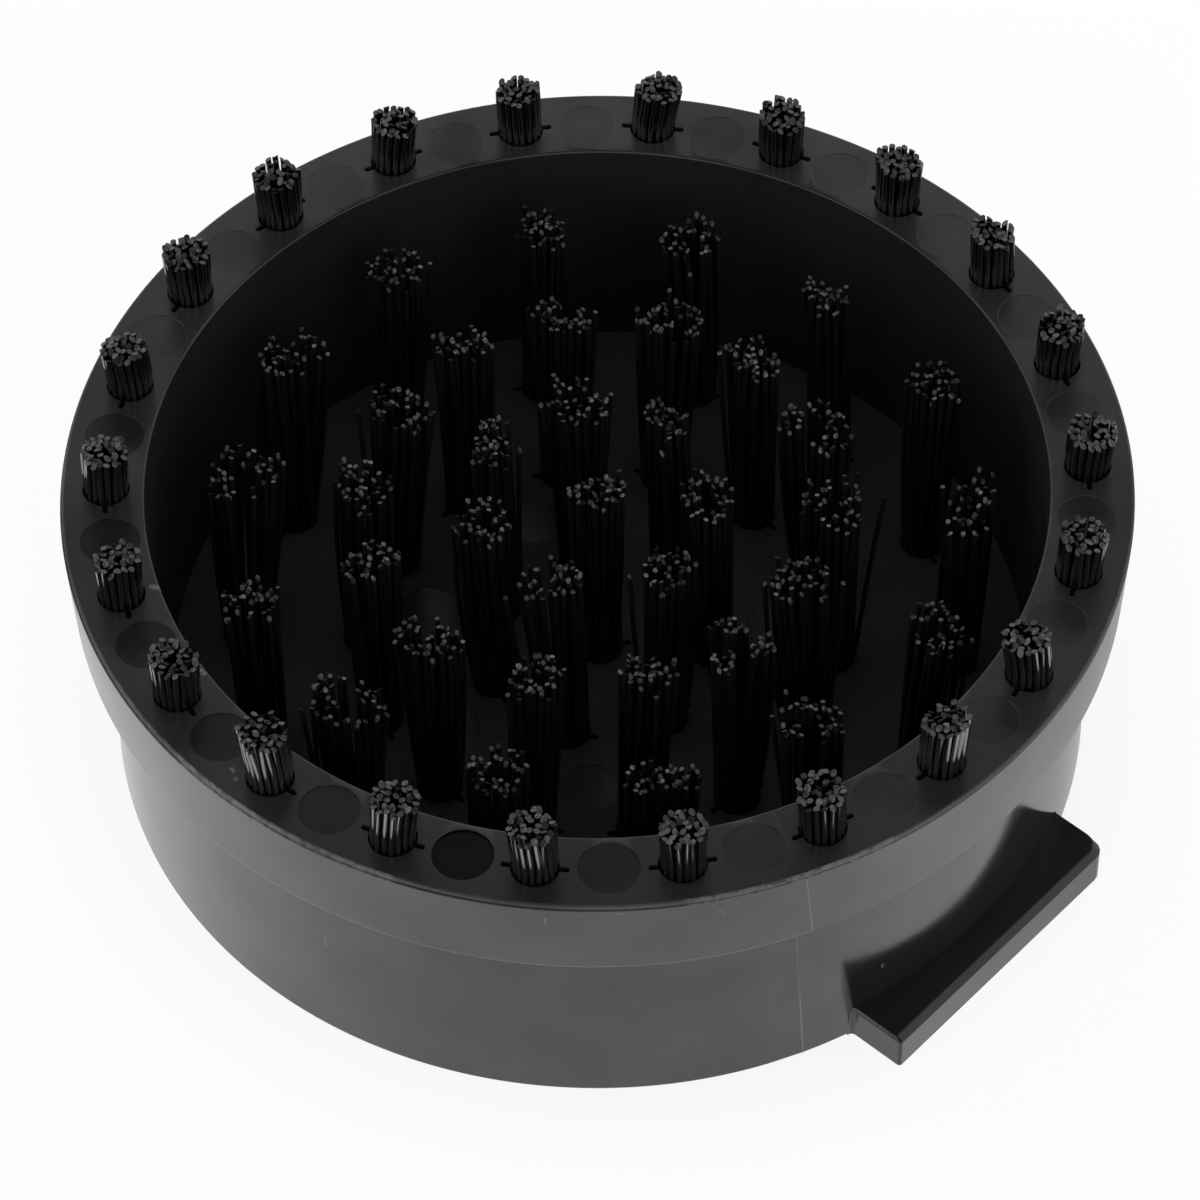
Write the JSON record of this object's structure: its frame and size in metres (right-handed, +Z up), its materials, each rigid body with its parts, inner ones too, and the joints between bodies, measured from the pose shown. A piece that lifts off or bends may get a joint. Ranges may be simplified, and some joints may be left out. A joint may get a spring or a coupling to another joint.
{
  "type": "espresso group head brush",
  "caption": "Round cup-shaped cleaning brush for an espresso machine's group head: bristle tufts stand on its floor and round its rim, and a grip lug sits at its foot.",
  "frame": {"origin": "on the cup's axis, at the flat base that it rests on", "axes": "+Z up the cup's axis, out of its mouth; +X through the grip lug, square to the lug's straight outer face"},
  "size_m": [0.0702, 0.07, 0.0268],
  "materials": {
    "cup_plastic": "satin black moulded plastic",
    "bristle_nylon": "black nylon filament"
  },
  "bodies": {
    "root": {"cup_body": "cup_plastic", "rim_tuft_01": "bristle_nylon", "rim_tuft_02": "bristle_nylon", "rim_tuft_03": "bristle_nylon", "rim_tuft_04": "bristle_nylon", "rim_tuft_05": "bristle_nylon", "rim_tuft_06": "bristle_nylon", "rim_tuft_07": "bristle_nylon", "rim_tuft_08": "bristle_nylon", "rim_tuft_09": "bristle_nylon", "rim_tuft_10": "bristle_nylon", "rim_tuft_11": "bristle_nylon", "rim_tuft_12": "bristle_nylon", "rim_tuft_13": "bristle_nylon", "rim_tuft_14": "bristle_nylon", "rim_tuft_15": "bristle_nylon", "rim_tuft_16": "bristle_nylon", "rim_tuft_17": "bristle_nylon", "rim_tuft_18": "bristle_nylon", "rim_tuft_19": "bristle_nylon", "rim_tuft_20": "bristle_nylon", "rim_tuft_21": "bristle_nylon", "rim_tuft_22": "bristle_nylon", "outer_tuft_01": "bristle_nylon", "outer_tuft_02": "bristle_nylon", "outer_tuft_03": "bristle_nylon", "outer_tuft_04": "bristle_nylon", "outer_tuft_05": "bristle_nylon", "outer_tuft_06": "bristle_nylon", "outer_tuft_07": "bristle_nylon", "outer_tuft_08": "bristle_nylon", "outer_tuft_09": "bristle_nylon", "outer_tuft_10": "bristle_nylon", "outer_tuft_11": "bristle_nylon", "outer_tuft_12": "bristle_nylon", "outer_tuft_13": "bristle_nylon", "outer_tuft_14": "bristle_nylon", "middle_tuft_01": "bristle_nylon", "middle_tuft_02": "bristle_nylon", "middle_tuft_03": "bristle_nylon", "middle_tuft_04": "bristle_nylon", "middle_tuft_05": "bristle_nylon", "middle_tuft_06": "bristle_nylon", "middle_tuft_07": "bristle_nylon", "middle_tuft_08": "bristle_nylon", "middle_tuft_09": "bristle_nylon", "middle_tuft_10": "bristle_nylon", "middle_tuft_11": "bristle_nylon", "middle_tuft_12": "bristle_nylon", "middle_tuft_13": "bristle_nylon", "middle_tuft_14": "bristle_nylon", "inner_tuft_01": "bristle_nylon", "inner_tuft_02": "bristle_nylon", "inner_tuft_03": "bristle_nylon", "inner_tuft_04": "bristle_nylon", "inner_tuft_05": "bristle_nylon", "inner_tuft_06": "bristle_nylon", "inner_tuft_07": "bristle_nylon", "centre_tuft": "bristle_nylon"}
  },
  "joints": []
}
